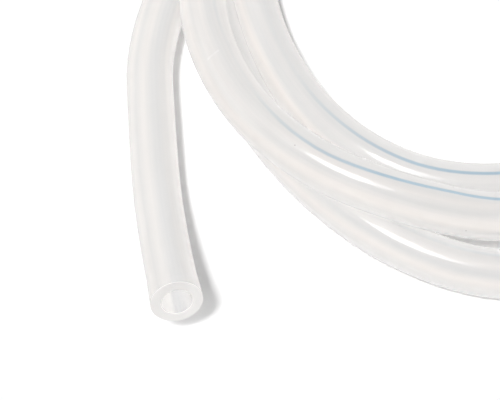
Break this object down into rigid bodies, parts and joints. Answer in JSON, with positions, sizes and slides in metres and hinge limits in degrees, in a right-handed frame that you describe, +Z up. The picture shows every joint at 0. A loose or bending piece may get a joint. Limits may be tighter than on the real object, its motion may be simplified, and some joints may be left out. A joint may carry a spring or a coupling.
{
  "type": "silicone tubing coil",
  "caption": "Length of soft translucent silicone tube wound by hand into a loose oval coil, with its free end left out beside the coil to push onto a fitting.",
  "frame": {"origin": "on the floor, under the middle of the coil's footprint", "axes": "+Z up, -Y towards the side that the free end points to, +X to the right of a viewer who looks along +Y"},
  "size_m": [0.152, 0.1704, 0.0286],
  "materials": {
    "milky_silicone": "milky translucent silicone rubber with a smooth satin skin and a thin pale blue line along one side"
  },
  "bodies": {
    "root": {"silicone_tube": "milky_silicone"}
  },
  "joints": []
}
